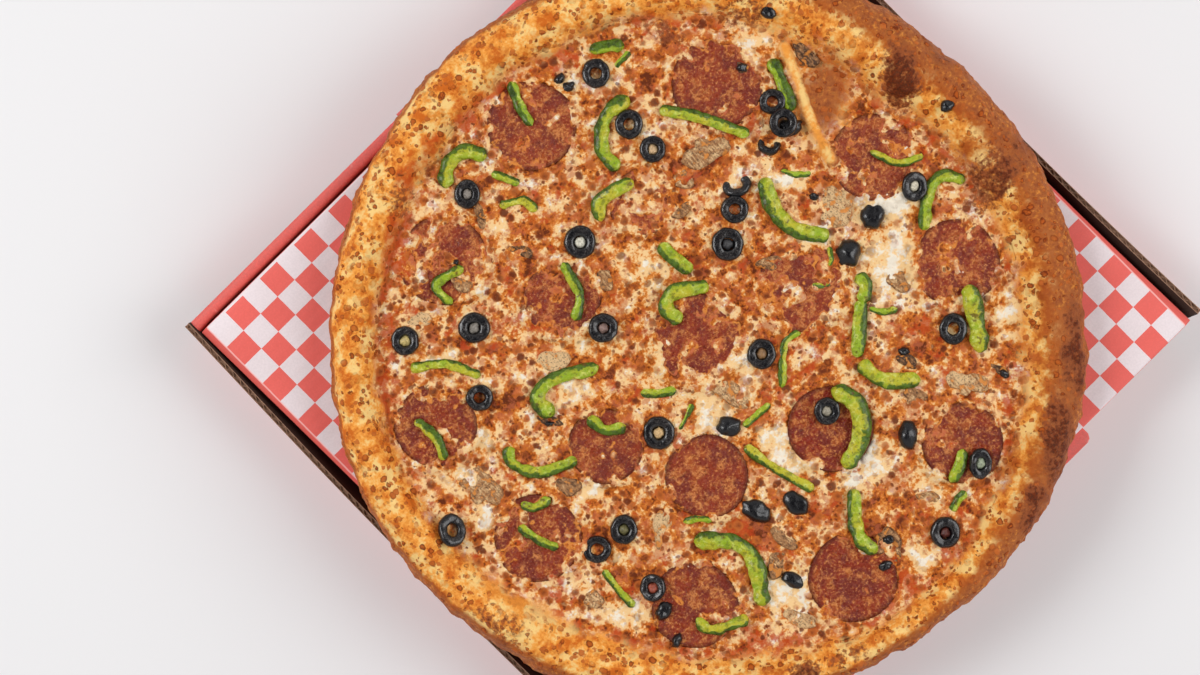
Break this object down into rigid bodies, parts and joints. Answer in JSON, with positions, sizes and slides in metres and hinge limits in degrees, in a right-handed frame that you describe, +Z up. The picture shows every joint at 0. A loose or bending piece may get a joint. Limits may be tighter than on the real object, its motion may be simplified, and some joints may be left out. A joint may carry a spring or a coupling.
{
  "type": "pizza on its closed cardboard box",
  "caption": "Round thick-crust pizza with pepperoni, black olives, green pepper and mushroom, lying on its own closed square cardboard box with a red and white check lid.",
  "frame": {"origin": "centre of the box's foot, on the surface that the box stands on", "axes": "+Z up, -Y towards the box's front edge where the lid tucks over, +Y towards its hinge"},
  "size_m": [0.4261, 0.4271, 0.0811],
  "materials": {
    "printed_board": "matte coated corrugated board, red and white check print",
    "kraft_board": "uncoated kraft corrugated board, printed plain red outside",
    "dough": "baked, golden to dark brown, with a skin of browned cheese",
    "cheese": "melted, creamy with browned spots and red sauce",
    "pepperoni": "baked, slightly oily",
    "olive": "wet black skin",
    "pepper": "moist green skin"
  },
  "bodies": {
    "root": {"box_tray": "kraft_board", "box_lid": "printed_board", "crust": "dough", "cheese": "cheese", "pepperoni_01": "pepperoni", "pepperoni_02": "pepperoni", "pepperoni_03": "pepperoni", "pepperoni_04": "pepperoni", "pepperoni_05": "pepperoni", "pepperoni_06": "pepperoni", "pepperoni_07": "pepperoni", "pepperoni_08": "pepperoni", "pepperoni_09": "pepperoni", "pepperoni_10": "pepperoni", "pepperoni_11": "pepperoni", "pepperoni_12": "pepperoni", "pepperoni_13": "pepperoni", "pepperoni_14": "pepperoni", "pepperoni_15": "pepperoni", "pepperoni_16": "pepperoni", "pepperoni_17": "pepperoni", "olive_01": "olive", "olive_02": "olive", "olive_03": "olive", "olive_04": "olive", "olive_05": "olive", "olive_06": "olive", "olive_07": "olive", "olive_08": "olive", "olive_09": "olive", "olive_10": "olive", "olive_11": "olive", "olive_12": "olive", "olive_13": "olive", "olive_14": "olive", "olive_15": "olive", "olive_16": "olive", "olive_17": "olive", "olive_18": "olive", "olive_19": "olive", "olive_20": "olive", "olive_21": "olive", "olive_22": "olive", "pepper_01": "pepper", "pepper_02": "pepper", "pepper_03": "pepper", "pepper_04": "pepper", "pepper_05": "pepper", "pepper_06": "pepper", "pepper_07": "pepper", "pepper_08": "pepper", "pepper_09": "pepper", "pepper_10": "pepper", "pepper_11": "pepper", "pepper_12": "pepper", "pepper_13": "pepper", "pepper_14": "pepper", "pepper_15": "pepper", "pepper_16": "pepper"}
  },
  "joints": []
}
